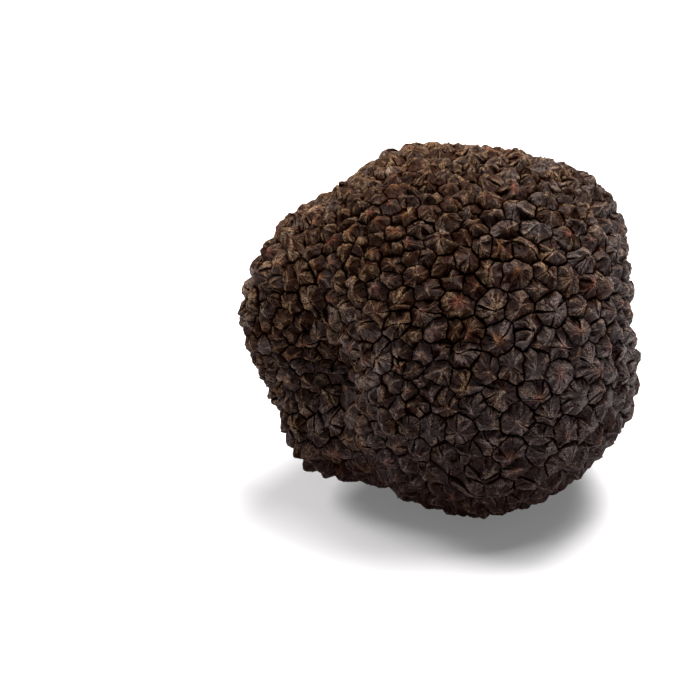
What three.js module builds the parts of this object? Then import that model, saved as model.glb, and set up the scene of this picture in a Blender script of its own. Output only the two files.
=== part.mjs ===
// A whole black truffle: one firm, knobbly body covered all over in pyramid-shaped warts with dark
// grooves between them. It lies on a small worn flat spot.
// Millimetres, +Z up, +X along the longest side. The origin is on the surface that the truffle lies on,
// under the middle of its bounding box.

import * as THREE from "three";
import { ConvexHull } from "three/addons/math/ConvexHull.js";

// The body before its swellings: a squared-off ellipsoid.
const CORE = { width: 56, depth: 54, height: 56.5, squareness: 2.6 };

// Swellings and hollows of the body. Azimuth 0 points along +X and 90 along +Y, elevation 90 is the top.
// Each stands `rise` millimetres out (or in, when negative) and fades over `spread` degrees.
const SWELLINGS = [
  { name: "front face", azimuth: -72, elevation: -12, rise: 3.4, spread: 34 },
  { name: "front foot", azimuth: -82, elevation: -36, rise: 1.9, spread: 18 },
  { name: "front left shoulder", azimuth: 250, elevation: -4, rise: 2.6, spread: 18 },
  { name: "left lobe", azimuth: 183, elevation: 4, rise: 7.7, spread: 26 },
  { name: "left lobe's top", azimuth: 167, elevation: 28, rise: 1.5, spread: 13 },
  { name: "left valley", azimuth: 221, elevation: -4, rise: -7.8, spread: 17 },
  { name: "left valley's head", azimuth: 216, elevation: 20, rise: -2.6, spread: 13 },
  { name: "left valley's foot", azimuth: 229, elevation: -36, rise: -2.2, spread: 13 },
  { name: "left foot", azimuth: 200, elevation: -38, rise: 3.5, spread: 14 },
  { name: "lower left undercut", azimuth: 222, elevation: -64, rise: -3.0, spread: 18 },
  { name: "upper left slope", azimuth: 154, elevation: 44, rise: -1.7, spread: 18 },
  { name: "upper left shoulder", azimuth: 134, elevation: 62, rise: 0.7, spread: 13 },
  { name: "crown", azimuth: 92, elevation: 70, rise: -0.2, spread: 18 },
  { name: "right of the crown", azimuth: 46, elevation: 61, rise: -0.9, spread: 13 },
  { name: "right waist", azimuth: 3, elevation: 8, rise: -2.9, spread: 15 },
  { name: "right shoulder", azimuth: 12, elevation: 38, rise: 1.4, spread: 20 },
  { name: "right knob", azimuth: -12, elevation: -18, rise: 1.5, spread: 17 },
  { name: "lower right undercut", azimuth: -30, elevation: -45, rise: -1.5, spread: 22 },
  { name: "right back hollow", azimuth: 38, elevation: 18, rise: -2.2, spread: 16 },
  { name: "back hollow", azimuth: 66, elevation: -6, rise: -3.6, spread: 18 },
  { name: "back knob", azimuth: 104, elevation: -2, rise: 2.8, spread: 22 },
  { name: "back crest", azimuth: 84, elevation: 40, rise: 1.8, spread: 16 },
  { name: "back foot", azimuth: 84, elevation: -46, rise: 1.6, spread: 17 },
  { name: "left back hollow", azimuth: 146, elevation: 6, rise: -4.0, spread: 18 },
  { name: "underside", azimuth: 0, elevation: -90, rise: -0.3, spread: 34 },
];

// Warts.
const WARTS = 876;
const SHOULDERED_WARTS = 534; // the larger ones have a shoulder below their facets; the rest have none
const EVENING_ROUNDS = 4; // how often the warts' middles are evened out; more rounds give more equal warts
const SKIN_SAMPLES = 24000; // points spread over the skin to even the warts out by
// Where the warts are smaller: each place's extra warts, as a share, and how many degrees that fades over.
const CROWDED = [
  { name: "left lobe", azimuth: 195, elevation: 0, extra: 0.7, spread: 40 },
  { name: "top", azimuth: 100, elevation: 78, extra: 0.75, spread: 50 },
];
const PEAK = { share: 0.4, least: 0.42, most: 0.98, jitter: 0.2 }; // height, as a share of the wart's radius
const WANDER = 0.22; // how far a peak wanders from the wart's middle, as a share of its radius
const SHOULDER = { out: 0.86, rise: 0.3, jitter: 0.12 }; // how far out towards the groove, and its height
const GROOVE = { shallow: 0.45, deep: 0.75 }; // below the skin
const CORNER_BLEND = 0.5; // 0 puts a groove's corner evenly between its three warts, 1 at their circumcentre

// How far the lowest wart is worn down to give the flat spot.
const WORN = 1.4;

const COLOUR = 0x2c2420;
const SEED = 20;

// A small seeded random number generator, so that each run grows the same truffle.
function randomFrom(seed) {
  let state = seed >>> 0;
  return () => {
    state = (state + 0x6d2b79f5) >>> 0;
    let t = state;
    t = Math.imul(t ^ (t >>> 15), t | 1);
    t ^= t + Math.imul(t ^ (t >>> 7), t | 61);
    return ((t ^ (t >>> 14)) >>> 0) / 4294967296;
  };
}

const random = randomFrom(SEED);
const between = (low, high) => low + (high - low) * random();
const radians = THREE.MathUtils.degToRad;

function towards(azimuth, elevation) {
  const a = radians(azimuth);
  const e = radians(elevation);
  return new THREE.Vector3(Math.cos(e) * Math.cos(a), Math.cos(e) * Math.sin(a), Math.sin(e));
}

const swellings = SWELLINGS.map((s) => ({
  middle: towards(s.azimuth, s.elevation),
  rise: s.rise,
  spread: radians(s.spread),
}));

// Distance from the body's middle to its skin in a direction. The skin is the level between the grooves'
// floors and the warts' peaks.
function reach(direction) {
  const p = CORE.squareness;
  const x = Math.abs((2 * direction.x) / CORE.width) ** p;
  const y = Math.abs((2 * direction.y) / CORE.depth) ** p;
  const z = Math.abs((2 * direction.z) / CORE.height) ** p;
  let r = (x + y + z) ** (-1 / p);
  for (const s of swellings) r += s.rise * Math.exp(-((direction.angleTo(s.middle) / s.spread) ** 2));
  return r;
}

// The skin's point and outward normal in a direction, and how much area a small patch of it has.
function skinAt(direction) {
  const STEP = 1e-3;
  const side = Math.abs(direction.z) < 0.9 ? new THREE.Vector3(0, 0, 1) : new THREE.Vector3(1, 0, 0);
  const u = new THREE.Vector3().crossVectors(side, direction).normalize();
  const v = new THREE.Vector3().crossVectors(direction, u);
  const pointAt = (d) => d.clone().multiplyScalar(reach(d));
  const nudged = (w) => pointAt(direction.clone().addScaledVector(w, STEP).normalize());
  const point = pointAt(direction);
  const normal = new THREE.Vector3().crossVectors(nudged(u).sub(point), nudged(v).sub(point));
  const area = normal.length() / STEP ** 2;
  return { point, normal: normal.normalize(), area };
}

function randomDirection() {
  const z = between(-1, 1);
  const a = between(0, 2 * Math.PI);
  const r = Math.sqrt(1 - z * z);
  return new THREE.Vector3(r * Math.cos(a), r * Math.sin(a), z);
}

// How closely the warts grow in a direction, as against the least crowded skin.
const crowds = CROWDED.map((c) => ({
  middle: towards(c.azimuth, c.elevation),
  extra: c.extra,
  spread: radians(c.spread),
}));

function crowding(direction) {
  let share = 1;
  for (const c of crowds) share += c.extra * Math.exp(-((direction.angleTo(c.middle) / c.spread) ** 2));
  return share;
}

// Points spread over the skin: evenly by area, but closer where the warts crowd together.
function skinSamples(count) {
  const TRIALS = 400;
  const MARGIN = 1.1;
  const candidate = () => {
    const direction = randomDirection();
    const { point, area } = skinAt(direction);
    return { point, weight: area * crowding(direction) };
  };
  const weights = Array.from({ length: TRIALS }, () => candidate().weight);
  const largest = MARGIN * Math.max(...weights);
  const points = [];
  while (points.length < count) {
    const { point, weight } = candidate();
    if (random() * largest < weight) points.push(point);
  }
  return points;
}

// The warts' middles: random points on the skin, each then moved to the middle of the skin nearest to it.
function wartMiddles() {
  const samples = skinSamples(SKIN_SAMPLES);
  const middles = samples.slice(0, WARTS).map((p) => p.clone());
  for (let round = 0; round < EVENING_ROUNDS; round++) {
    const sums = middles.map(() => ({ total: new THREE.Vector3(), count: 0 }));
    for (const p of samples) {
      let nearest = 0;
      let least = Infinity;
      for (let i = 0; i < WARTS; i++) {
        const d = p.distanceToSquared(middles[i]);
        if (d < least) {
          least = d;
          nearest = i;
        }
      }
      sums[nearest].total.add(p);
      sums[nearest].count++;
    }
    sums.forEach(({ total, count }, i) => {
      if (count) middles[i].copy(skinAt(total.normalize()).point);
    });
  }
  return middles.map((p) => p.normalize());
}

// The grooves' corners lie between every three neighbouring warts, which are the faces of the hull of the
// warts' directions. Returns the corners' directions and, for each wart, its corners in order round it.
function grooveNetwork(middles) {
  const hull = new ConvexHull().setFromPoints(middles);
  const number = new Map(middles.map((m, i) => [m, i]));
  const corners = [];
  const cornerOf = new Map();
  const edgeFrom = new Array(middles.length);
  for (const face of hull.faces) {
    const even = new THREE.Vector3();
    for (let k = 0; k < 3; k++) {
      const edge = face.getEdge(k);
      even.add(edge.head().point);
      edgeFrom[number.get(edge.tail().point)] = edge;
    }
    cornerOf.set(face, corners.length);
    corners.push(even.normalize().lerp(face.normal, CORNER_BLEND).normalize());
  }
  const rings = edgeFrom.map((first) => {
    const ring = [];
    let edge = first;
    do {
      ring.push(cornerOf.get(edge.face));
      edge = edge.prev.twin;
    } while (edge !== first);
    return ring;
  });
  return { corners, rings };
}

// The truffle's surface as one closed indexed geometry.
function truffleGeometry() {
  const middles = wartMiddles();
  const { corners, rings } = grooveNetwork(middles);
  const vertices = [];
  const triangles = [];
  const addVertex = (p) => vertices.push(p) - 1;

  const cornerSkin = corners.map(skinAt);
  const grooveVertex = cornerSkin.map(({ point, normal }) =>
    addVertex(point.clone().addScaledVector(normal, -between(GROOVE.shallow, GROOVE.deep))),
  );

  const radii = rings.map((ring, i) => {
    const middle = skinAt(middles[i]).point;
    return ring.reduce((sum, c) => sum + cornerSkin[c].point.distanceTo(middle), 0) / ring.length;
  });
  const smallest = [...radii].sort((a, b) => b - a)[SHOULDERED_WARTS];

  rings.forEach((ring, i) => {
    const { point, normal } = skinAt(middles[i]);
    const tall = THREE.MathUtils.clamp(PEAK.share * radii[i], PEAK.least, PEAK.most);
    const height = tall * between(1 - PEAK.jitter, 1 + PEAK.jitter);
    const wander = randomDirection().projectOnPlane(normal).multiplyScalar(WANDER * radii[i]);
    const peak = addVertex(point.clone().add(wander).addScaledVector(normal, height));
    let inner = ring.map((c) => grooveVertex[c]);
    if (radii[i] > smallest) {
      const outer = inner;
      inner = ring.map((c) => {
        const edge = new THREE.Vector3().lerpVectors(point, cornerSkin[c].point, SHOULDER.out);
        const rise = SHOULDER.rise + between(-SHOULDER.jitter, SHOULDER.jitter);
        return addVertex(edge.addScaledVector(normal, rise));
      });
      ring.forEach((_, k) => {
        const next = (k + 1) % ring.length;
        triangles.push([outer[k], outer[next], inner[next]], [outer[k], inner[next], inner[k]]);
      });
    }
    inner.forEach((v, k) => triangles.push([v, inner[(k + 1) % inner.length], peak]));
  });

  const floor = Math.min(...vertices.map((v) => v.z)) + WORN;
  for (const v of vertices) v.z = Math.max(v.z, floor);

  const geometry = new THREE.BufferGeometry();
  const coordinates = vertices.flatMap((v) => v.toArray());
  geometry.setAttribute("position", new THREE.Float32BufferAttribute(coordinates, 3));
  geometry.setIndex(triangles.flat());
  geometry.computeBoundingBox();
  const box = geometry.boundingBox;
  geometry.translate(-(box.min.x + box.max.x) / 2, -(box.min.y + box.max.y) / 2, -box.min.z);
  geometry.computeVertexNormals();
  return geometry;
}

const skin = new THREE.MeshStandardMaterial({ color: COLOUR, roughness: 0.7, metalness: 0 });
const truffle = new THREE.Mesh(truffleGeometry(), skin);
truffle.name = "truffle";

const model = new THREE.Group();
model.add(truffle);

export default model;
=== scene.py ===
# %% [markdown]
# # A whole black truffle
#
# A black truffle is an underground fungus. Its flesh is firm and solid, and its thin skin is covered all
# over in hard, low pyramids that cooks call warts. Each has four to eight sides and is split from its tip
# outwards like a star, because the skin cracks as the truffle swells and then dries. Between the warts run
# narrow grooves, nearly black, where soil and shadow gather.
#
# The solid of the truffle already has every wart, with a flat facet for each side. This script keeps that
# body as its frame and grows one finer skin over it.

# %% Load the frame and measure it
import math

import bmesh
import bpy
import numpy as np
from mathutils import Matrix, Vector, noise


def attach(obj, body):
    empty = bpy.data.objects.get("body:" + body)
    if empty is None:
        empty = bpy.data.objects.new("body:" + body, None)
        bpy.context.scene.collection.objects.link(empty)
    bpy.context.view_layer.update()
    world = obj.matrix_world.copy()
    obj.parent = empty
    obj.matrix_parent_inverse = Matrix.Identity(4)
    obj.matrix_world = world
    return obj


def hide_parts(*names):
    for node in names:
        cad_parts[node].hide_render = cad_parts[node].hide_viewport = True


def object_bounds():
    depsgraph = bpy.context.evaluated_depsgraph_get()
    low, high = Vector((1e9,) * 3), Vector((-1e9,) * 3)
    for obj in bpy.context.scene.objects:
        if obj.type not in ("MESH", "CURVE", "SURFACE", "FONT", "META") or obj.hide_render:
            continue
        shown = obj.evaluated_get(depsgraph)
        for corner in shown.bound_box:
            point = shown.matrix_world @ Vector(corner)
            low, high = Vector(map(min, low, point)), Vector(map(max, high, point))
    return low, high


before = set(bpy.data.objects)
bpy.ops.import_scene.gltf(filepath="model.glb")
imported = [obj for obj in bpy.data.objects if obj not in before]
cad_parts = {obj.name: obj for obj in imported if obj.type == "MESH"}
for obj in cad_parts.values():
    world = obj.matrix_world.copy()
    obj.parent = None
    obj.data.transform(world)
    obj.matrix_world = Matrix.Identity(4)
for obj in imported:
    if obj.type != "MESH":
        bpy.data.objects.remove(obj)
cad_low, cad_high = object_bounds()
MM = 0.001  # the scene is in metres, and a truffle's details are in millimetres
print("solid truffle, mm:", [round(side / MM, 1) for side in cad_high - cad_low])

# %% [markdown]
# ## One polygon for each wart
#
# A knobbly skin could be sculpted, or displaced by a cell texture. Both would move the warts away from where
# the solid has them. So the new skin starts as a welded copy of the solid, and each wart's facets are
# dissolved into one many-sided polygon that fills the space between its grooves. Everything after that is
# added inside these polygons, so the pattern of grooves is kept.

# %% Copy the solid and weld it
TOUCHING = 0.001 * MM  # points as near as this are one point
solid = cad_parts["truffle"]
skin = bpy.data.objects.new("truffle_skin", solid.data.copy())
bpy.context.scene.collection.objects.link(skin)


def work_on(piece):
    """Selects this piece alone, so that the operators act on nothing else."""
    bpy.ops.object.select_all(action="DESELECT")
    piece.select_set(True)
    bpy.context.view_layer.objects.active = piece


work_on(skin)
bpy.ops.object.mode_set(mode="EDIT")
bpy.ops.mesh.select_all(action="SELECT")
bpy.ops.mesh.remove_doubles(threshold=TOUCHING)
bpy.ops.mesh.customdata_custom_splitnormals_clear()
bpy.ops.object.mode_set(mode="OBJECT")
print("welded:", len(skin.data.vertices), "points")

# %% [markdown]
# A groove's corner is where three warts meet. It lies lower than the points round it, and that tells it from
# a tip or a shoulder. On and near the worn flat spot underneath, the points are level or nearly so. There a
# corner is known by how many edges meet at it: six or more, of which three or four lead to others like it.

# %% Find the corners of the grooves
NEARLY_WORN = 1.2 * MM  # points below this height may have been worn level
LOWER_BY = 0.1 * MM  # how far a corner lies below the points round it, at least
MANY_EDGES = 6
body = bmesh.new()
body.from_mesh(skin.data)
body.normal_update()


def neighbours(point):
    """The points that share an edge with this one."""
    return [edge.other_vert(point) for edge in point.link_edges]


def is_groove_corner(point):
    """Whether three warts meet at this point."""
    around = neighbours(point)
    if point.co.z > NEARLY_WORN:
        middle = sum((p.co for p in around), Vector()) / len(around)
        return (middle - point.co).dot(point.normal) > LOWER_BY
    busy = [p for p in around if len(p.link_edges) >= MANY_EDGES]
    return len(around) >= MANY_EDGES and 3 <= len(busy) <= 4


corners = {point for point in body.verts if is_groove_corner(point)}
print("groove corners:", len(corners))

# %% Gather each wart's facets, without stepping over a groove
wart_layer = body.faces.layers.int.new("wart")
for facet in body.faces:
    facet[wart_layer] = -1


def gather(first, number):
    """All facets of one wart, starting from any of them. Each is given the wart's number."""
    first[wart_layer] = number
    found = [first]
    for facet in found:
        for edge in facet.edges:
            if corners.issuperset(edge.verts):
                continue
            for beside in edge.link_faces:
                if beside[wart_layer] < 0:
                    beside[wart_layer] = number
                    found.append(beside)
    return found


warts = []
for facet in body.faces:
    if facet[wart_layer] < 0:
        warts.append(gather(facet, len(warts)))
print("warts:", len(warts))

# %% [markdown]
# Before the facets go, three things are noted for each wart: its tip, the way it faces, and its shoulder,
# which is the rim of its pyramid just inside the groove. The solid's smallest warts are plain pyramids with
# no shoulder, so theirs is put a little way up from the groove and pushed out, which rounds them as the
# others are rounded.

# %% Note the tip, the facing and the shoulder of each wart
SMALL_SHOULDER_UP = 0.2  # share of the way from the groove to the tip
SMALL_SHOULDER_OUT = 0.42 * MM
tip, facing, shoulder_at = [], [], {}

for number, facets in enumerate(warts):
    rim_and_top = {p for f in facets for p in f.verts}
    inside = rim_and_top - corners
    top = next(p for p in inside if len(inside) == 1 or not corners.intersection(neighbours(p)))
    outward = sum((f.normal * f.calc_area() for f in facets), Vector()).normalized()
    tip.append(top.co.copy())
    facing.append(outward)
    for corner in rim_and_top & corners:
        beside = [p for p in neighbours(corner) if p in inside and p is not top]
        if beside:
            shoulder = min(beside, key=lambda p: (p.co - corner.co).length).co.copy()
        else:
            shoulder = corner.co.lerp(top.co, SMALL_SHOULDER_UP) + outward * SMALL_SHOULDER_OUT
        shoulder_at[number, corner] = shoulder
print("shoulder points:", len(shoulder_at))

# %% Dissolve each wart's facets into one polygon
for facets in warts:
    bmesh.ops.dissolve_faces(body, faces=facets, use_verts=False)
body.verts.index_update()
corner_count = len(body.verts)
shoulder_at = {(number, corner.index): place for (number, corner), place in shoulder_at.items()}
print("polygons:", len(body.faces), "with", len(body.edges), "grooves between them")
body.to_mesh(skin.data)
body.free()

# %% [markdown]
# ## Room for detail
#
# Subdividing would cut every facet alike and know nothing of a wart's middle. So the grooves are cut into
# pieces of about half a millimetre, which lets them wander and a wart's rim be notched. Then four insets lay
# rings inside each polygon, as a carver marks out the foot of the wall, the shoulder and two levels of the
# pyramid, and a poke adds the tip.

# %% Divide the grooves
PIECE_OF_GROOVE = 0.56 * MM
FEWEST, MOST = 2, 7  # pieces in one groove
edges_by_cuts = {}
body = bmesh.new()
body.from_mesh(skin.data)  # read afresh, so that new points are numbered after the corners
for edge in body.edges:
    pieces_here = min(MOST, max(FEWEST, round(edge.calc_length() / PIECE_OF_GROOVE)))
    edges_by_cuts.setdefault(pieces_here - 1, []).append(edge)
for cuts, edges in sorted(edges_by_cuts.items()):
    bmesh.ops.bisect_edges(body, edges=edges, cuts=cuts)
body.to_mesh(skin.data)
body.free()
print("points along the grooves:", len(skin.data.vertices))

# %% Inset four rings and poke the tips
RINGS = 4
INSET = 0.2 * MM  # any width does, because the points are placed later
ring_starts = [0]
bpy.ops.object.mode_set(mode="EDIT")
bpy.ops.mesh.select_all(action="SELECT")
for _ in range(RINGS):
    ring_starts.append(len(bmesh.from_edit_mesh(skin.data).verts))
    bpy.ops.mesh.inset(thickness=INSET, use_individual=True)
ring_starts.append(len(bmesh.from_edit_mesh(skin.data).verts))
bpy.ops.mesh.poke()
bpy.ops.object.mode_set(mode="OBJECT")
mesh = skin.data
print("first point of each ring, and of the tips:", ring_starts, "of", len(mesh.vertices))

# %% [markdown]
# The insets only make the rings. To shape them, each point has to know where it is on its wart. An inset
# adds its points wart by wart and in order round each wart, so a point's number says that. A spoke is a row
# of points from the groove through all four rings, and its number is the same in every ring.

# %% Follow the spokes
spoke_count = ring_starts[2] - ring_starts[1]


def read(collection, name, width, kind):
    """A row of numbers for each point, edge, corner or face of a mesh."""
    values = np.zeros(len(collection) * width, kind)
    collection.foreach_get(name, values)
    return values.reshape(-1, width)


place = read(mesh.vertices, "co", 3, np.float32).astype(float)
edge_ends = np.sort(read(mesh.edges, "vertices", 2, np.int32), axis=1)
first_ring = (edge_ends >= ring_starts[1]) & (edge_ends < ring_starts[2])
into_groove = edge_ends[~first_ring[:, 0] & first_ring[:, 1]]
groove_of = np.zeros(spoke_count, int)
groove_of[into_groove[:, 1] - ring_starts[1]] = into_groove[:, 0]

around = edge_ends[first_ring.all(axis=1)] - ring_starts[1]
closing = around[around[:, 1] - around[:, 0] > 1]  # the edge from a wart's last spoke back to its first
spans = closing[np.argsort(closing[:, 0])] + [0, 1]
wart_number = np.zeros(len(spans), int)
face_wart = read(mesh.attributes["wart"].data, "value", 1, np.int32)[:, 0]
for face in mesh.polygons:
    if len(face.vertices) == 3:
        wart_number[max(face.vertices) - ring_starts[-1]] = face_wart[face.index]
print("spokes:", spoke_count, "on", len(spans), "warts, up to", (spans[:, 1] - spans[:, 0]).max(), "on one")

# %% [markdown]
# ## The shape of a wart
#
# A wart is a low pyramid with a rounded shoulder and a steep wall down to the groove. Its facets are hollow
# in the middle of a side and full along the ridges. The solid's tips and shoulders stay nearly where they
# are, so the form is the same: only the shoulders of the larger warts come down by a fifth of a millimetre,
# so that their facets slope more. What is added is what the drying skin does. The grooves wander, the facets
# lie at slightly different levels, and fissures run up from the groove towards the tip.
#
# Sculpting so many warts by hand would take days, and a displacement texture can't curl a wedge or open a
# split. So each wart is shaped by the same few rules, with draws of its own from one seeded source.

# %% Let the grooves wander, open and sink
WANDER = 0.2 * MM
WANDER_OVER = 1.3 * MM
OPENING_OVER = 3.0 * MM  # a groove changes from tight to open over about this length
MEAN_OPENNESS, OPENNESS_VARIES = 1.1, 1.6  # where a groove of middling width is 1
TIGHTEST, WIDEST = 0.6, 1.8
GROOVE_SINKS = 0.6 * MM  # below the solid's, in a groove of middling width
SINKS_ANYWAY = 0.3  # the share of this depth that even a closed groove would have
out_of_groove = np.zeros((ring_starts[1], 3))
for w, (first, end) in enumerate(spans):
    out_of_groove[groove_of[first:end]] += facing[wart_number[w]]
out_of_groove /= np.linalg.norm(out_of_groove, axis=1)[:, None]

noise.seed_set(7)  # without a seed, noise_vector differs from run to run


def noise_at(points, size, offset=0.0):
    """Smooth noise from about -0.5 to 0.5, with lumps of this size."""
    shifted = Vector((offset, offset, offset))
    return np.array([noise.noise(Vector(p) / size + shifted) for p in points])


def sideways_noise(points, outward, size, most):
    """A smooth shift for each point, along the skin and of up to about this much."""
    moved = np.array([noise.noise_vector(Vector(p) / size) for p in points]) * 2 * most
    return moved - (moved * outward).sum(axis=1)[:, None] * outward


groove_line = place[: ring_starts[1]]
shift = sideways_noise(groove_line, out_of_groove, WANDER_OVER, WANDER)
groove_line = groove_line + shift
openness = MEAN_OPENNESS + OPENNESS_VARIES * noise_at(groove_line, OPENING_OVER, offset=9)
openness = np.clip(openness, TIGHTEST, WIDEST)
depth_share = SINKS_ANYWAY + (1 - SINKS_ANYWAY) * openness
groove_floor = groove_line - out_of_groove * (GROOVE_SINKS * depth_share)[:, None]
print("grooves wander up to, mm:", round(np.linalg.norm(shift, axis=1).max() / MM, 2))

# %% [markdown]
# A drying wart splits from its rim towards its tip, at some corners and across about half of its longer
# sides. What is left between two splits is a wedge, and each wedge curls in its own way: it lies a little
# higher or lower than the next, leans to one side and is fluted along its length. The steps between the
# wedges catch the light.

# %% Choose where a wart splits
SIDE_SPLITS = 0.5  # how likely a long side is to split
CORNER_SPLITS = 0.3
LONG_SIDE = 4  # spokes on a side that is long enough to split
THROUGH = 0.55  # how likely a large wart is to be split right across
LARGE = 26  # spokes on a large wart
APART = 3  # spokes between two splits, at least
chance = np.random.default_rng(11)


def unit(vectors):
    """The same directions, each one long."""
    return vectors / np.maximum(np.linalg.norm(vectors, axis=-1, keepdims=True), 1e-12)


def sides_of(groove):
    """For each spoke: the spokes at the two corners of its side, and how far it is along the side."""
    n = len(groove)
    at_corner = np.flatnonzero(groove < corner_count)
    spoke = np.arange(n)
    before = np.searchsorted(at_corner, spoke, side="right") - 1
    start = at_corner[before]
    end = at_corner[(before + 1) % len(at_corner)]
    length = (end - start) % n
    return start, end, ((spoke - start) % n) / length, length


def splits_of(start, length):
    """The spokes at which a wart has split, in order round it, and the two that go right through."""
    n = len(start)
    wanted, through = [], []
    if n >= LARGE and chance.random() < THROUGH:
        first = int(chance.integers(n))
        through = [first, (first + n // 2 + int(chance.integers(-1, 2))) % n]
        wanted += through
    for corner in np.unique(start):
        side = int(length[corner])
        if side >= LONG_SIDE and chance.random() < SIDE_SPLITS:
            wanted.append(int(corner + chance.integers(2, side - 1)) % n)
        if chance.random() < CORNER_SPLITS:
            wanted.append(int(corner))
    kept = []
    for spoke in wanted:
        if all(min((spoke - k) % n, (k - spoke) % n) >= APART for k in kept):
            kept.append(spoke)
    return np.array(sorted(kept), int), through


print("large warts:", int((spans[:, 1] - spans[:, 0] >= LARGE).sum()))

# %% [markdown]
# Each measure of a wart's shape has a name, so that it can be changed and tried. The heights are fractions of
# a millimetre, as on the real skin.

# %% Name the measures of a wart
UP_THE_FACET = [1.0, 0.64, 0.27]  # how far rings 2, 3 and 4 are from the tip, as a share of the shoulder's
UP_A_SPLIT_TIP = [1.0, 0.56, 0.15]  # the same, where the wart has split right across
WALL_FOOT = 0.5  # ring 1, as a share of the way from the shoulder to the groove
SWELL = 0.16 * MM  # how far a facet is domed from tip to shoulder
STEEPER = 0.2 * MM  # how far the shoulder of a large wart is lowered, so that its facets slope more
CLOSE_TO_GROOVE = 0.08  # how far the shoulder moves towards the groove, where that is of middling width
CLOSE_AT_CORNER = 0.15  # how much further it moves at a corner, which keeps the warts angular
AT_CORNER = 0.2  # how near to a corner that is, as a share of the side
LEVEL = 0.14 * MM  # how unlike the wedges are in height, in lean and in fluting
LEAN = 0.22 * MM
FLUTE = 0.05 * MM
HOLLOW = (-0.1 * MM, 0.3 * MM)  # how hollow the middle of a side is, at least and at most
FOOT_UP = 0.10 * MM  # how far the foot of the wall bulges
FOOT_LIFT = 0.5  # the share of a wedge's lift that the foot of the wall takes
LIFT_PER_SHARE = 2.2  # a ring has this many times its share of the wedge's lift, and at most all of it
print("rings 2, 3 and 4 are", UP_THE_FACET, "of the way from the tip to the shoulder")


# %% Shape the wedges between the splits
def wedge_heights(n, splits):
    """For each spoke, how far its wedge lifts it."""
    if len(splits) == 0:
        return chance.normal(0, FLUTE / 2, n)
    wedge = np.searchsorted(splits, np.arange(n), side="right") - 1
    begin = splits[wedge]
    width = (splits[(wedge + 1) % len(splits)] - begin - 1) % n + 1
    across = ((np.arange(n) - begin) % n) / width
    level = chance.normal(0, LEVEL, len(splits))[wedge]
    lean = chance.normal(0, LEAN, len(splits))[wedge]
    flute = chance.uniform(0, FLUTE, len(splits))[wedge] * np.where((np.arange(n) - begin) % 2, 1, -1)
    return level + lean * (2 * across - 1) + flute + chance.normal(0, FLUTE / 3, n)


def rings_of(number, groove, splits, split_tip):
    """Rings 1 to 4 of a wart, before its splits open."""
    up = np.array(facing[number])
    top = np.array(tip[number])
    start, end, along, _ = sides_of(groove)
    at_corner = np.array([shoulder_at.get((number, g), (0, 0, 0)) for g in groove])
    rim = at_corner[start] * (1 - along)[:, None] + at_corner[end] * along[:, None] + shift[groove]
    closer = CLOSE_TO_GROOVE * (2 - openness[groove])  # a tight groove's walls stand closer still
    closer += CLOSE_AT_CORNER * (np.minimum(along, 1 - along) < AT_CORNER)
    rim += (groove_line[groove] - rim) * closer[:, None] - up * (STEEPER * min(1, len(groove) / LARGE))
    hollow = chance.uniform(*HOLLOW, len(groove))[start] * 4 * along * (1 - along)
    lift = (wedge_heights(len(groove), splits) - hollow) * min(1, len(groove) / LARGE)
    rings = [rim + (groove_line[groove] - rim) * WALL_FOOT + up * (FOOT_UP + FOOT_LIFT * lift)[:, None]]
    for share in UP_A_SPLIT_TIP if split_tip else UP_THE_FACET:
        ring = top + (rim - top) * share
        swell = SWELL * math.sin(math.pi * share)
        rings.append(ring + up * (swell + lift * min(1, LIFT_PER_SHARE * share))[:, None])
    return np.array(rings), up


print("two wedges differ in height by about, mm:", round(math.sqrt(2) * LEVEL / MM, 2))

# %% [markdown]
# A split takes three neighbouring spokes: the middle one sinks, and the two beside it close in on it as its
# lips. That makes a crack a third of a millimetre wide with no more points than a plain facet has. Where a
# wart has split right across, the crack is nearly twice as wide and three times as deep.

# %% Open the splits
CRACK_WIDTH = 0.16 * MM  # from the middle of the crack to each lip
CRACK_DEPTH = 0.6 * MM
CRACK_LEVELS = [1.15, 1.0, 0.75, 0.4]  # depth at rings 1 to 4, as a share
WIDTH_AT_FOOT, NARROWER_EACH_RING = 1.1, 0.15  # width, as a share
USUAL_STRENGTH = (0.35, 1.15)  # at least and at most, where 1 gives the width and the depth above
THROUGH_STRENGTH = 2.3
USUAL_REACH = (0.15, 1.3)  # how far up the facet a split runs: 1.3 takes it to the tip
REACH_OF_A_RING = 0.3
OPEN_AT_FOOT = 0.25  # added to the reach, so that the shortest split shows at the foot of the wall too
SHOWS_ANYWAY = 0.2  # added to a split's strength, so that the painted soil and shade darken a faint one too


def open_splits(rings, splits, through, up):
    """Sinks each split's spoke and closes its neighbours in on it. Returns how cracked each point is."""
    cracked = np.zeros(rings.shape[:2])
    n = rings.shape[1]
    for spoke in splits:
        left, right = (spoke - 1) % n, (spoke + 1) % n
        strength = THROUGH_STRENGTH if spoke in through else chance.uniform(*USUAL_STRENGTH)
        reach = USUAL_REACH[1] if spoke in through else chance.uniform(*USUAL_REACH)
        for ring, share in enumerate(CRACK_LEVELS):
            fade = min(1, max(0, reach - ring * REACH_OF_A_RING + OPEN_AT_FOOT))
            across = unit(rings[ring, right] - rings[ring, left])
            middle = rings[ring, spoke].copy()
            width = CRACK_WIDTH * (WIDTH_AT_FOOT - NARROWER_EACH_RING * ring) * (1 + strength) / 2
            for lip, turn in ((left, -1), (right, 1)):
                closed = middle + across * turn * width + up * (up @ (rings[ring, lip] - middle))
                rings[ring, lip] += (closed - rings[ring, lip]) * fade
            rings[ring, spoke] = middle - up * (CRACK_DEPTH * share * strength * fade)
            cracked[ring, spoke] = fade * min(1, strength + SHOWS_ANYWAY)
    return cracked


print("a split is this deep at rings 1 to 4, mm:", [round(CRACK_DEPTH * s / MM, 2) for s in CRACK_LEVELS])

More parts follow.
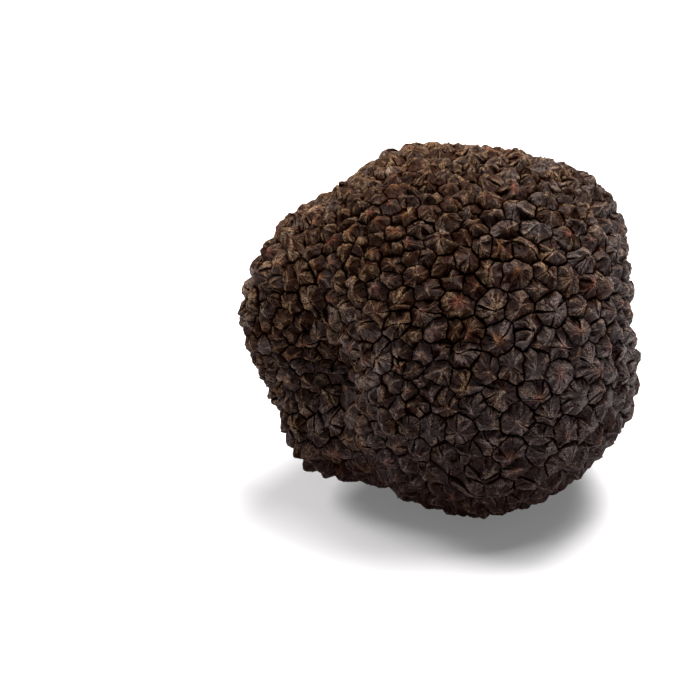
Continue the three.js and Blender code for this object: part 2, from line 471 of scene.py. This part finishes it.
# %% [markdown]
# Now every wart is grown in turn. A tip sinks into the crack where its wart has split right across, and half
# as far where two other splits reach it. The smallest warts are blunt buttons rather than pyramids, so their
# tips are lowered as well, or they would bristle along the outline.

# %% Grow every wart
BLUNT = 0.75 * MM  # how far the tip of the very smallest wart would be lowered
TIP_SINKS = 0.5 * MM
REACHES_TIP = 0.6  # how cracked the last ring is where a split reaches the tip
ring_points = np.zeros((RINGS, spoke_count, 3))
fissure = np.zeros((RINGS, spoke_count))
tips = np.zeros((len(spans), 3))
tip_cracked = np.zeros(len(spans))
for w, (first, end) in enumerate(spans):
    number = wart_number[w]
    groove = groove_of[first:end]
    start, _, _, length = sides_of(groove)
    splits, through = splits_of(start, length)
    rings, up = rings_of(number, groove, splits, bool(through))
    fissure[:, first:end] = open_splits(rings, splits, through, up)
    ring_points[:, first:end] = rings
    reach_tip = (fissure[RINGS - 1, first:end] > REACHES_TIP).sum()
    tip_cracked[w] = 1.0 if through else 0.5 if reach_tip >= 2 else 0
    blunted = BLUNT * max(0, 1 - (end - first) / LARGE)
    tips[w] = np.array(tip[number]) - up * (TIP_SINKS * tip_cracked[w] + blunted)
print("splits:", int((fissure[1] > 0).sum()), "and warts split right across:", int((tip_cracked == 1).sum()))

# %% [markdown]
# Last comes an unevenness over everything, as on any skin that has dried and shrunk. The points are then kept
# inside the solid's box and above the surface that the truffle lies on.

# %% Crumple the skin and put the points in place
CRUMPLE = [(1.5 * MM, 0.26 * MM), (0.65 * MM, 0.16 * MM)]  # size of the lumps, and how high
PULLED = 0.42 * MM  # how far a facet's points are pulled sideways, so that no ridge or split is straight
PULLED_OVER = 2.0 * MM
PULLED_AT = [0, 0.35, 0.7, 1.0, 0.9, 0.8]  # in the grooves, at rings 1 to 4 and at the tips, as a share
spoke_facing = np.zeros((spoke_count, 3))
for w, (first, end) in enumerate(spans):
    spoke_facing[first:end] = facing[wart_number[w]]
tip_facing = np.array([facing[number] for number in wart_number])
outward_at = np.concatenate([out_of_groove] + [spoke_facing] * RINGS + [tip_facing])
place = np.concatenate([groove_floor, ring_points.reshape(-1, 3), tips])
pull = sideways_noise(place, outward_at, PULLED_OVER, PULLED)
pull_share = np.repeat(PULLED_AT, [ring_starts[1]] + [spoke_count] * RINGS + [len(spans)])
place += pull * pull_share[:, None]
for size, height in CRUMPLE:
    place += outward_at * (noise_at(place, size) * height)[:, None]
place = np.clip(place, np.array(cad_low), np.array(cad_high))
mesh.vertices.foreach_set("co", place.astype(np.float32).ravel())
mesh.update()
print("skin:", len(mesh.vertices), "points,", sum(len(f.vertices) - 2 for f in mesh.polygons), "triangles")

# %% [markdown]
# ## What the paint needs to know
#
# The colours and the fine streaks follow the warts, so they can't come from a pattern in space alone. The
# mesh carries them as attributes: how far each point is from its tip, how cracked it is, and how proud it
# stands of the points round it. What stands proud is painted pale, partly as wear and partly as a painted
# highlight, and what lies low is painted dark, partly as soil and partly as painted shade. No two warts have
# weathered alike, so each has its own tone, warmth and rustiness, and its own share of pale veins. It also
# has a map that is flat on the wart, with its middle at the tip and in centimetres.

# %% Store the attributes
def store(name, domain, values):
    """Gives the mesh one more value for each of its points or faces."""
    layer = mesh.attributes.new(name, "FLOAT", domain)
    layer.data.foreach_set("value", np.asarray(values, np.float32))


RING_DISTANCE = [1.25, 1.0, 0.6, 0.24]  # where the shoulder is 1 and the tip 0
GROOVE_DISTANCE = 1.6
TIP_SHOWS_CRACK = 0.5  # how dark a cracked tip is, where a crack is 1
from_tip = [np.full(ring_starts[1], GROOVE_DISTANCE)] + [np.full(spoke_count, d) for d in RING_DISTANCE]
store("from_tip", "POINT", np.concatenate(from_tip + [np.zeros(len(spans))]))
how_cracked = [np.zeros(ring_starts[1]), fissure.ravel(), tip_cracked * TIP_SHOWS_CRACK]
store("fissure", "POINT", np.concatenate(how_cracked))

FULLY_PROUD = 0.17 * MM
total = np.zeros_like(place)
count = np.zeros(len(place))
for here, there in ((0, 1), (1, 0)):
    np.add.at(total, edge_ends[:, here], place[edge_ends[:, there]])
    np.add.at(count, edge_ends[:, here], 1)
normals = read(mesh.vertices, "normal", 3, np.float32)
proud = ((place - total / count[:, None]) * normals).sum(axis=1) / FULLY_PROUD
store("proud", "POINT", np.clip(proud, -1, 1))
print("proud, in shares:", np.percentile(proud, [5, 25, 50, 75, 95]).round(2))

RUSTY_WARTS = 0.5  # share of the warts that have any rust
tone = chance.random(len(warts))
rust = np.clip(1 - chance.random(len(warts)) / RUSTY_WARTS, 0, 1)
store("tone", "FACE", tone[face_wart])
store("rust", "FACE", rust[face_wart])
store("veined", "FACE", chance.random(len(warts))[face_wart] ** 2)
store("warmth", "FACE", chance.random(len(warts))[face_wart])

# %% Lay a flat map over each wart
facing_array = np.array(facing)
tip_array = np.array(tip)
sideways = unit(np.cross(facing_array, chance.normal(size=(len(warts), 3))))
forwards = np.cross(facing_array, sideways)
loop_vertex = read(mesh.loops, "vertex_index", 1, np.int32)[:, 0]
loop_total = read(mesh.polygons, "loop_total", 1, np.int32)[:, 0]
loop_wart = np.repeat(face_wart, loop_total)
from_own_tip = (place[loop_vertex] - tip_array[loop_wart]) / (10 * MM)
flat_map = mesh.uv_layers.new(name="wart_map")
across = (from_own_tip * sideways[loop_wart]).sum(axis=1)
upwards = (from_own_tip * forwards[loop_wart]).sum(axis=1)
flat_map.data.foreach_set("uv", np.stack([across, upwards], axis=1).astype(np.float32).ravel())
print("map spans, cm:", round(float(across.min()), 2), "to", round(float(across.max()), 2))

# %% [markdown]
# ## The skin's finish
#
# The skin of a ripe black truffle, its rind, is a tough layer of dried fungal cells, brown-black and rather
# like tree bark. It was never polished, but its ridges are rubbed smooth, and while it is fresh it has a
# faint waxy sheen. Pale brown shows where ridges are worn, rust red where a tip has split, and dark soil in
# the grooves. To the eye this gives a dark skin that is lively from close by: dry brown on the ridges, a
# dull grey gleam on the facets, and nothing at all from the grooves.
#
# Such a skin could be painted on an image. Here it is made of noise and of what the mesh carries, so that the
# colours follow each wart, and stay sharp from close by.

# %% Start a material
def linear(hex_colour):
    """An sRGB hex colour as the linear values that shaders take."""
    parts = [int(hex_colour[i : i + 2], 16) / 255 for i in (1, 3, 5)]
    return [c / 12.92 if c <= 0.04045 else ((c + 0.055) / 1.055) ** 2.4 for c in parts] + [1]


def new_material(name):
    """A new material in use, and its shader."""
    material = bpy.data.materials.new(name)
    material.use_nodes = True
    return material, material.node_tree.nodes["Principled BSDF"]


def add(material, kind, settings, inputs):
    """Adds a node. An input is given as a value, or as the output of another node, which is then linked."""
    node = material.node_tree.nodes.new(kind)
    for name, value in settings.items():
        setattr(node, name, value)
    for socket, value in inputs.items():
        if isinstance(value, bpy.types.NodeSocket):
            material.node_tree.links.new(value, node.inputs[socket])
        else:
            node.inputs[socket].default_value = value
    return node


rind, rind_shader = new_material("dried_truffle_skin")
print("started", rind.name, "with", len(rind.node_tree.nodes), "nodes")

# %% Read what the mesh carries
carried = {}
for name in ("from_tip", "fissure", "proud", "tone", "rust", "veined", "warmth"):
    carried[name] = add(rind, "ShaderNodeAttribute", {"attribute_name": name}, {}).outputs["Fac"]
wart_map = add(rind, "ShaderNodeUVMap", {"uv_map": "wart_map"}, {}).outputs[0]
in_space = add(rind, "ShaderNodeTexCoord", {}, {}).outputs["Object"]
print("the paint can read:", ", ".join(carried), "and the map")

# %% [markdown]
# The streaks that run out from a tip are a noise that changes quickly round the wart and slowly outwards.
# Its position is the direction from the tip, so it has no seam, and a coarser noise bends it so that no two
# streaks run alike. Each is about 0.3 mm wide at the shoulder, which is as fine as shows at arm's length.
#
# Two nodes are used again and again. A Map Range takes inputs 1 and 2 as the range that comes in, and gives
# the range from input 3 to input 4, which is 0 to 1 unless they are set. A Multiply Add gives input 0 times
# input 1 plus input 2.

# %% Streaks out from the tip
SMOOTH = {"interpolation_type": "SMOOTHSTEP"}
STREAKS_ROUND = 6.0  # radius of the circle in noise space, whose rim holds some forty streaks
BEND = 0.14  # how far the streaks are bent, in centimetres
BEND_OVER = 1.2 * MM
ALONG_A_STREAK = 9.0  # how fast a streak changes outwards, a centimetre
APART_IN_NOISE = 90.0  # how far apart two warts' streaks can lie in the noise, so that none are alike
PALE_STREAK = (0.5, 0.68)  # the levels of the noise, whose middle is 0.5, at which one begins and is full
crooked = add(rind, "ShaderNodeTexNoise", {}, {"Vector": in_space, "Scale": 1 / BEND_OVER, "Detail": 2.0})
bent_map = add(
    rind,
    "ShaderNodeVectorMath",
    {"operation": "MULTIPLY_ADD"},
    {0: crooked.outputs["Color"], 1: (BEND, BEND, 0), 2: wart_map},
).outputs[0]
centred = add(
    rind, "ShaderNodeVectorMath", {"operation": "ADD"}, {0: bent_map, 1: (-BEND / 2, -BEND / 2, 0)}
).outputs[0]
direction = add(rind, "ShaderNodeVectorMath", {"operation": "NORMALIZE"}, {0: centred}).outputs[0]
spread = add(
    rind, "ShaderNodeVectorMath", {"operation": "SCALE"}, {0: direction, 3: STREAKS_ROUND}
).outputs[0]
outwards = add(rind, "ShaderNodeVectorMath", {"operation": "LENGTH"}, {0: wart_map}).outputs["Value"]
drift = add(rind, "ShaderNodeMath", {"operation": "MULTIPLY"}, {0: outwards, 1: ALONG_A_STREAK}).outputs[0]
own = add(
    rind, "ShaderNodeMath", {"operation": "MULTIPLY_ADD"}, {0: carried["tone"], 1: APART_IN_NOISE, 2: drift}
).outputs[0]
lifted = add(rind, "ShaderNodeCombineXYZ", {}, {2: own}).outputs[0]
round_tip = add(rind, "ShaderNodeVectorMath", {"operation": "ADD"}, {0: spread, 1: lifted}).outputs[0]
streak_noise = add(
    rind, "ShaderNodeTexNoise", {}, {"Vector": round_tip, "Scale": 1.0, "Detail": 3.0, "Roughness": 0.6}
).outputs["Fac"]
streaks = add(
    rind, "ShaderNodeMapRange", SMOOTH, {0: streak_noise, 1: PALE_STREAK[0], 2: PALE_STREAK[1]}
).outputs[0]
print("streaks round a tip, about:", round(2 * math.pi * STREAKS_ROUND))

# %% Crumples, grain and blotches
CRUMPLED = 0.8 * MM  # from fold to fold
GRAIN = 0.25 * MM  # the cells of the skin are finer still, and this is as fine as shows
BLOTCH = 3.5 * MM  # about the size of a wart
print("from coarse to fine, mm:", [round(size / MM, 2) for size in (BLOTCH, CRUMPLED, GRAIN)])
crumples = add(
    rind, "ShaderNodeTexVoronoi", {}, {"Vector": in_space, "Scale": 1 / CRUMPLED, "Randomness": 1.0}
).outputs["Distance"]
grain = add(
    rind, "ShaderNodeTexNoise", {}, {"Vector": in_space, "Scale": 1 / GRAIN, "Detail": 3.0, "Roughness": 0.7}
).outputs["Fac"]
blotches = add(
    rind,
    "ShaderNodeTexNoise",
    {},
    {"Vector": in_space, "Scale": 1 / BLOTCH, "Detail": 4.0, "Roughness": 0.65},
).outputs["Fac"]

# %% [markdown]
# The colour is laid down as a painter would. First comes a brown-black ground, mottled by the crumples. It
# differs a little from wart to wart and in blotches, as the skin has dried unevenly. Towards the top and the
# left it also turns from a darker purplish brown to a lighter, warmer brown, which is painted light: the top
# and the left are painted as lit, and the front as in shade.

# %% Ground colour
DRIER_AND_LIT_TOWARDS = (-5.0, 0.0, 7.0)  # how much drier and more lit the ground is painted, for each metre along each axis: to the left and upwards
WART_BY_WART = 0.12  # how much drier one wart can be than the next
FRESH_SHADED, DRY_LIT = 0.66, 0.97  # the ends of the scale of dryness and painted light
# the ground at the front, painted as in shade; at the top and the left, painted lighter and warmer as lit;
# and its darkest
GROUND_FRESH_SHADED, GROUND_DRY_LIT, GROUND_DARKEST = "#211112", "#381b09", "#1c0a05"
IN_A_DIMPLE, ON_A_FOLD = -0.45, 0.7  # how much paler the ground is there than the wart's own tone
MIX = {"data_type": "RGBA", "clamp_factor": True}  # input 0 is the share, and inputs 6 and 7 the two colours
up_and_left = add(
    rind, "ShaderNodeVectorMath", {"operation": "DOT_PRODUCT"}, {0: in_space, 1: DRIER_AND_LIT_TOWARDS}
).outputs["Value"]
dryness_and_light = add(rind, "ShaderNodeMath", {"operation": "ADD"}, {0: up_and_left, 1: blotches}).outputs[0]
dryness_and_light = add(
    rind, "ShaderNodeMath", {"operation": "MULTIPLY_ADD"}, {0: carried["warmth"], 1: WART_BY_WART, 2: dryness_and_light}
).outputs[0]
dry_and_lit_share = add(rind, "ShaderNodeMapRange", {}, {0: dryness_and_light, 1: FRESH_SHADED, 2: DRY_LIT}).outputs[0]
hue = add(
    rind, "ShaderNodeMix", MIX, {0: dry_and_lit_share, 6: linear(GROUND_FRESH_SHADED), 7: linear(GROUND_DRY_LIT)}
).outputs[2]
mottled = add(
    rind, "ShaderNodeMapRange", {}, {0: crumples, 1: 0.1, 2: 0.5, 3: IN_A_DIMPLE, 4: ON_A_FOLD}
).outputs[0]
paler = add(rind, "ShaderNodeMath", {"operation": "ADD"}, {0: carried["tone"], 1: mottled}).outputs[0]
ground = add(rind, "ShaderNodeMix", MIX, {0: paler, 6: linear(GROUND_DARKEST), 7: hue}).outputs[2]
# prints the ground at the top and the left, painted lighter and warmer as lit
print("ground where dry, as shaders take it:", [round(part, 4) for part in linear(GROUND_DRY_LIT)[:3]])

# %% [markdown]
# Pale brown is then dragged over all that stands proud: partly wear, and partly a painted highlight on the
# ridges and rims. A fine grain breaks it up, as when a nearly dry brush skips over rough paper, and its
# highest grains are painted glints. It is strongest near a tip, which is rubbed most, and towards the top and
# the left it is painted paler, as lit.

# %% Worn ridges with painted highlights and glints, and veins
# pale brown for wear and painted highlight: at the front, and paler at the top and the left, as lit
WORN_FRESH_SHADED, WORN_DRY_LIT = "#95817a", "#caa67e"
VEINS = 0.5  # how pale the veins are, where the ridges are 1
BRUSH_SKIPS, BRUSH_CATCHES = 0.05, 1.5  # how much pale brown the low and the high grains take: the high ones are painted glints
PROUD_RIDGE = (0.15, 1.1)  # how proud a ridge is when its wear and painted highlight begin and when they are full
TIP_ONLY = (0.6, 0.1)  # the distances from the tip at which veins and rust begin and are full
AT_SHOULDER = 0.36  # how much of the wear and painted highlight is left at the shoulder
grain_glints = add(
    rind, "ShaderNodeMapRange", {}, {0: grain, 1: 0.42, 2: 0.68, 3: BRUSH_SKIPS, 4: BRUSH_CATCHES}
).outputs[0]
standing = add(
    rind, "ShaderNodeMapRange", SMOOTH, {0: carried["proud"], 1: PROUD_RIDGE[0], 2: PROUD_RIDGE[1]}
).outputs[0]
at_tip = add(
    rind, "ShaderNodeMapRange", SMOOTH, {0: carried["from_tip"], 1: TIP_ONLY[0], 2: TIP_ONLY[1]}
).outputs[0]
veins = add(
    rind, "ShaderNodeMath", {"operation": "MULTIPLY"}, {0: streaks, 1: carried["veined"]}
).outputs[0]
veins = add(rind, "ShaderNodeMath", {"operation": "MULTIPLY"}, {0: veins, 1: at_tip}).outputs[0]
rubbed_and_highlit = add(
    rind, "ShaderNodeMath", {"operation": "MULTIPLY_ADD"}, {0: veins, 1: VEINS, 2: standing}
).outputs[0]
towards_tip = add(
    rind, "ShaderNodeMapRange", {}, {0: carried["from_tip"], 1: 1.05, 2: 0.3, 3: AT_SHOULDER, 4: 1.0}
).outputs[0]
rubbed_and_highlit = add(rind, "ShaderNodeMath", {"operation": "MULTIPLY"}, {0: rubbed_and_highlit, 1: towards_tip}).outputs[0]
rubbed_and_highlit = add(rind, "ShaderNodeMath", {"operation": "MULTIPLY"}, {0: rubbed_and_highlit, 1: grain_glints}).outputs[0]
worn_and_highlight_hue = add(
    rind, "ShaderNodeMix", MIX, {0: dry_and_lit_share, 6: linear(WORN_FRESH_SHADED), 7: linear(WORN_DRY_LIT)}
).outputs[2]
worn_and_highlit = add(rind, "ShaderNodeMix", MIX, {0: rubbed_and_highlit, 6: ground, 7: worn_and_highlight_hue}).outputs[2]
# prints the pale brown of wear and painted highlight at the top and the left
print("worn where dry, as shaders take it:", [round(part, 4) for part in linear(WORN_DRY_LIT)[:3]])

# %% [markdown]
# A split tip lays bare the tissue under the skin, which turns rust red in the air. It is strongest at the top
# and the left, and only a trace elsewhere.

# %% Rust at the split tips
RUST_RED, RUST_BROWN = "#984a45", "#a0683c"
RUST_WHERE_FRESH_SHADED = 0.45  # at the front, as a share of the rust at the top and the left
RUST_SPECKS = (0.42, 0.56)  # the levels of the streaks' noise at which a speck begins and is full
rusty = add(rind, "ShaderNodeMath", {"operation": "MULTIPLY"}, {0: at_tip, 1: carried["rust"]}).outputs[0]
speckled = add(
    rind, "ShaderNodeMapRange", {}, {0: streak_noise, 1: RUST_SPECKS[0], 2: RUST_SPECKS[1]}
).outputs[0]
rusty = add(rind, "ShaderNodeMath", {"operation": "MULTIPLY"}, {0: rusty, 1: speckled}).outputs[0]
rust_towards_top_left = add(rind, "ShaderNodeMapRange", {}, {0: dry_and_lit_share, 3: RUST_WHERE_FRESH_SHADED, 4: 1.0}).outputs[0]
rusty = add(rind, "ShaderNodeMath", {"operation": "MULTIPLY"}, {0: rusty, 1: rust_towards_top_left}).outputs[0]
rust_hue = add(
    rind, "ShaderNodeMix", MIX, {0: carried["tone"], 6: linear(RUST_RED), 7: linear(RUST_BROWN)}
).outputs[2]
rusted = add(rind, "ShaderNodeMix", MIX, {0: rusty, 6: worn_and_highlit, 7: rust_hue}).outputs[2]
print("warts with rust:", int((rust > 0).sum()), "of", len(rust))

# %% [markdown]
# Soil and painted shade come last, because they lie over everything else. They fill the grooves, in blotches
# a little beyond them too, and the splits, the hollows and the hairline cracks between the streaks: partly as
# the soil that gathers there and partly as painted shade. At the top and the left the band round each wart is
# painted wider, as shade in the gaps between the warts, and towards the bottom whole warts are painted
# darker, as shade.

# %% Soil and painted shade in the grooves, the splits, the hollows and the hairline cracks
# the colour of soil, and of the painted shade in the grooves, the splits, the hollows and the hairlines
SOIL_AND_SHADE_COLOUR = "#1c0803"
# how much wider the dark band round each wart is painted at the top and the left, as painted shade in the
# gaps between the warts
SHADE_WIDER_TOWARDS_TOP_LEFT = 0.08
BLOTCHED = 1.1  # how far the blotches move the edge of the soil and painted shade, where a shoulder is 1 from its tip
IN_GROOVES = (1.58, 2.05)  # from the tip, blotches added: where the soil and painted shade begin and where they cover all
IN_SPLITS = (0.1, 0.6)  # how cracked the skin is there
IN_HOLLOWS = (-0.3, -1.1)  # how proud the skin is there, and below 0 it is lower than all round
IN_HAIRLINES = (0.46, 0.39)  # the level of the streaks' noise there
# how dark the hairline cracks are painted, as soil and as shade
HAIRLINE_SOIL_AND_SHADE = 0.85
SHADE_FULL_UNDER, SHADE_GONE_ABOVE = 6 * MM, 30 * MM  # heights above the floor between which the painted shade thins out
# how much painted shade darkens the lowest warts
SHADE_BELOW_MOST = 0.68
# the edge of the soil and painted shade round each wart, moved out by the blotches and wider at the top and
# the left
soil_and_shade_edge = add(
    rind,
    "ShaderNodeMath",
    {"operation": "MULTIPLY_ADD"},
    {0: dry_and_lit_share, 1: SHADE_WIDER_TOWARDS_TOP_LEFT, 2: carried["from_tip"]},
).outputs[0]
soil_and_shade_edge = add(
    rind, "ShaderNodeMath", {"operation": "MULTIPLY_ADD"}, {0: blotches, 1: BLOTCHED, 2: soil_and_shade_edge}
).outputs[0]
# soil and painted shade where the skin lies low: in the grooves, the splits and the hollows
soil_and_shade = []
for level, where in ((soil_and_shade_edge, IN_GROOVES), (carried["fissure"], IN_SPLITS), (carried["proud"], IN_HOLLOWS)):
    ends = {0: level, 1: where[0], 2: where[1]}
    soil_and_shade.append(add(rind, "ShaderNodeMapRange", SMOOTH, ends).outputs[0])
soiled_and_shaded = add(rind, "ShaderNodeMath", {"operation": "MAXIMUM"}, {0: soil_and_shade[0], 1: soil_and_shade[1]}).outputs[0]
soiled_and_shaded = add(rind, "ShaderNodeMath", {"operation": "MAXIMUM"}, {0: soiled_and_shaded, 1: soil_and_shade[2]}).outputs[0]
ends = {0: streak_noise, 1: IN_HAIRLINES[0], 2: IN_HAIRLINES[1], 4: HAIRLINE_SOIL_AND_SHADE}
hairlines = add(rind, "ShaderNodeMapRange", SMOOTH, ends).outputs[0]
soiled_and_shaded = add(rind, "ShaderNodeMath", {"operation": "MAXIMUM"}, {0: soiled_and_shaded, 1: hairlines}).outputs[0]
# painted shade: the lower part of the truffle is painted darker, the more the nearer it is to the floor
above_floor = add(rind, "ShaderNodeSeparateXYZ", {}, {0: in_space}).outputs["Z"]
painted_shade_below = add(
    rind, "ShaderNodeMapRange", {}, {0: above_floor, 1: SHADE_GONE_ABOVE, 2: SHADE_FULL_UNDER, 3: 0.0, 4: SHADE_BELOW_MOST}
).outputs[0]
soiled_and_shaded = add(rind, "ShaderNodeMath", {"operation": "MAXIMUM"}, {0: soiled_and_shaded, 1: painted_shade_below}).outputs[0]
colour = add(rind, "ShaderNodeMix", MIX, {0: soiled_and_shaded, 6: rusted, 7: linear(SOIL_AND_SHADE_COLOUR)}).outputs[2]
rind.node_tree.links.new(colour, rind_shader.inputs["Base Color"])
print("soil, as shaders take it:", [round(part, 4) for part in linear(SOIL_AND_SHADE_COLOUR)[:3]])

# %% [markdown]
# The top and the left, painted as dry and lit, are duller and rougher, and where soil and painted shade lie
# there is no sheen at all. Relief finer than the mesh is left to bump: the crumples, the streaks and the
# grain, none of them deeper than a millimetre.

# %% Sheen and fine relief
ROUGHEST, SMOOTHEST = 0.6, 0.36  # the roughness between and on the grains, where there is no soil
# how much rougher the skin is where soil and painted shade lie
SOIL_AND_SHADE_ROUGHER = 0.35
WAXY_IOR = 1.45
SHEEN = 0.43
SHEEN_WHERE_DRY_LIT = 0.28  # at the top and the left, as a share of the sheen at the front
MEAN_SHEEN = 0.25  # for a viewer that can't follow a link to the specular level
RELIEF_WHERE_FRESH_SHADED = 0.45  # at the front, as a share of the relief at the top and the left
CRUMPLE_DEPTH, STREAK_DEPTH, GRAIN_DEPTH = 0.8 * MM, 0.3 * MM, 0.75 * MM
gloss = add(
    rind, "ShaderNodeMapRange", {}, {0: grain, 1: 0.3, 2: 0.7, 3: ROUGHEST, 4: SMOOTHEST}
).outputs[0]
dull = add(
    rind, "ShaderNodeMath", {"operation": "MULTIPLY_ADD"}, {0: soiled_and_shaded, 1: SOIL_AND_SHADE_ROUGHER, 2: gloss}
).outputs[0]
rind.node_tree.links.new(dull, rind_shader.inputs["Roughness"])
rind_shader.inputs["IOR"].default_value = WAXY_IOR
waxy = add(rind, "ShaderNodeMapRange", {}, {0: soiled_and_shaded, 1: 0.0, 2: 0.8, 3: SHEEN, 4: 0.0}).outputs[0]
less_waxy = add(rind, "ShaderNodeMapRange", {}, {0: dry_and_lit_share, 3: 1.0, 4: SHEEN_WHERE_DRY_LIT}).outputs[0]
waxy = add(rind, "ShaderNodeMath", {"operation": "MULTIPLY"}, {0: waxy, 1: less_waxy}).outputs[0]
rind_shader.inputs["Specular IOR Level"].default_value = MEAN_SHEEN
rind.node_tree.links.new(waxy, rind_shader.inputs["Specular IOR Level"])

rougher = add(rind, "ShaderNodeMapRange", {}, {0: dry_and_lit_share, 3: RELIEF_WHERE_FRESH_SHADED, 4: 1.0}).outputs[0]
relief = None
for height, depth in ((crumples, CRUMPLE_DEPTH), (streak_noise, STREAK_DEPTH), (grain, GRAIN_DEPTH)):
    inputs = {"Strength": rougher, "Distance": depth, "Height": height}
    if relief:
        inputs["Normal"] = relief
    relief = add(rind, "ShaderNodeBump", {}, inputs).outputs[0]
rind.node_tree.links.new(relief, rind_shader.inputs["Normal"])
print("nodes in the skin's material:", len(rind.node_tree.nodes))

# %% [markdown]
# Smooth shading suits the hollow of a facet, but it would blur a ridge, and the ridges of a dried wart are
# crisp. So all is shaded smooth first, and then the edges where the mesh turns sharply are marked sharp.

# %% Dress the skin
CRISP_FROM = math.radians(30)  # facets that meet at more than this keep a crisp ridge between them
work_on(skin)
mesh.materials.clear()
mesh.materials.append(rind)
bpy.ops.object.shade_smooth()
bpy.ops.object.mode_set(mode="EDIT")
bpy.ops.mesh.select_mode(type="EDGE")
bpy.ops.mesh.select_all(action="DESELECT")
bpy.ops.mesh.edges_select_sharp(sharpness=CRISP_FROM)
bpy.ops.mesh.mark_sharp()
bpy.ops.object.mode_set(mode="OBJECT")
crisp = read(mesh.attributes["sharp_edge"].data, "value", 1, bool)
print("crisp edges:", int(crisp.sum()), "of", len(mesh.edges))
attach(skin, "root")
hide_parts("truffle")

# %% [markdown]
# ## Floor, light and camera
#
# The truffle lies on matt white paper, which is pressed plant fibre without a gloss, and so shows the eye no
# more than a soft shadow. The paper gives out a little light of its own, as a softly lit table does, and that
# keeps the shadow grey. Two large soft lights hang above and behind the truffle to the right, and a third
# stands at the left. So the top is bright, the front is low in tone, and every wart casts a little shade on
# the next. A weak wide light in front keeps the grooves from going solid black.

# %% Floor
PAPER_SIDE = 6.0  # metres, so that its edges are far out of sight
PAPER = "#cfd4dc"  # a little cool, as the lights are warm
PAPER_GLOW = 0.17
PAPER_ROUGHNESS = 0.9
WHITE = "#ffffff"
bpy.ops.mesh.primitive_plane_add(size=PAPER_SIDE)
floor = bpy.context.active_object
floor.name = "floor"
paper, paper_shader = new_material("white_paper")
paper_shader.inputs["Base Color"].default_value = linear(PAPER)
paper_shader.inputs["Emission Color"].default_value = linear(WHITE)
paper_shader.inputs["Emission Strength"].default_value = PAPER_GLOW
paper_shader.inputs["Roughness"].default_value = PAPER_ROUGHNESS
floor.data.materials.append(paper)
print("floor, m:", [round(side, 1) for side in floor.dimensions[:2]])

# %% Lights
TRUFFLE_MIDDLE = Vector((0, 0, 0.03))
ROOM_LIGHT = 0.1  # what comes from all round, beside the four lights


def soft_light(name, place, size, power, colour):
    """A square light, aimed at the truffle's middle."""
    lamp = bpy.data.lights.new(name, "AREA")
    lamp.size = size
    lamp.energy = power
    lamp.color = linear(colour)[:3]
    light = bpy.data.objects.new(name, lamp)
    light.location = place
    light.rotation_euler = (TRUFFLE_MIDDLE - Vector(place)).to_track_quat("-Z", "Y").to_euler()
    bpy.context.scene.collection.objects.link(light)
    print(f"{name}: {power} W from {(TRUFFLE_MIDDLE - Vector(place)).length:.2f} m away")


soft_light("window_above", (0.29, 0.14, 1.2), 0.7, 19.0, "#fff7ee")
soft_light("window_behind", (0.22, 0.5, 1.0), 0.7, 23.0, "#fff6ee")
soft_light("window_left", (-0.7, 0.3, 0.6), 0.4, 10.0, "#fff6ee")
soft_light("wide_front", (0.3, -0.9, 0.5), 0.8, 0.3, "#f4f2ff")

world = bpy.data.worlds.new("studio")
world.use_nodes = True
world.node_tree.nodes["Background"].inputs["Color"].default_value = linear(WHITE)
world.node_tree.nodes["Background"].inputs["Strength"].default_value = ROOM_LIGHT
bpy.context.scene.world = world
bpy.context.scene.view_settings.view_transform = "Standard"

# %% [markdown]
# The camera looks down by 22 degrees from 42 cm away, about as one looks at a thing on a table. Its lens
# could be set by eye. Here it is worked out from what a pixel covers at the truffle, so the size comes out
# right.

# %% Camera
ELEVATION = math.radians(22)
DISTANCE = 0.42
FRAME = 700  # the render is square, and this wide in pixels
TRUFFLE_AT = (438, 320)  # where the middle of the truffle comes in the render
PIXEL = 0.165 * MM  # what a pixel covers at the truffle

middle = (cad_low + cad_high) / 2
back = Vector((0, -math.cos(ELEVATION), math.sin(ELEVATION)))
right = Vector((1, 0, 0))
above = right.cross(-back)
aim = middle - right * (TRUFFLE_AT[0] - FRAME / 2) * PIXEL + above * (TRUFFLE_AT[1] - FRAME / 2) * PIXEL
lens = bpy.data.cameras.new("camera")
lens.sensor_width = 36
lens.lens = lens.sensor_width * DISTANCE / (FRAME * PIXEL)
lens.clip_start, lens.clip_end = 0.01, 20
camera = bpy.data.objects.new("camera", lens)
camera.location = middle + back * DISTANCE
camera.rotation_euler = (aim - camera.location).to_track_quat("-Z", "Y").to_euler()
bpy.context.scene.collection.objects.link(camera)
bpy.context.scene.camera = camera
print("lens, mm:", round(lens.lens))
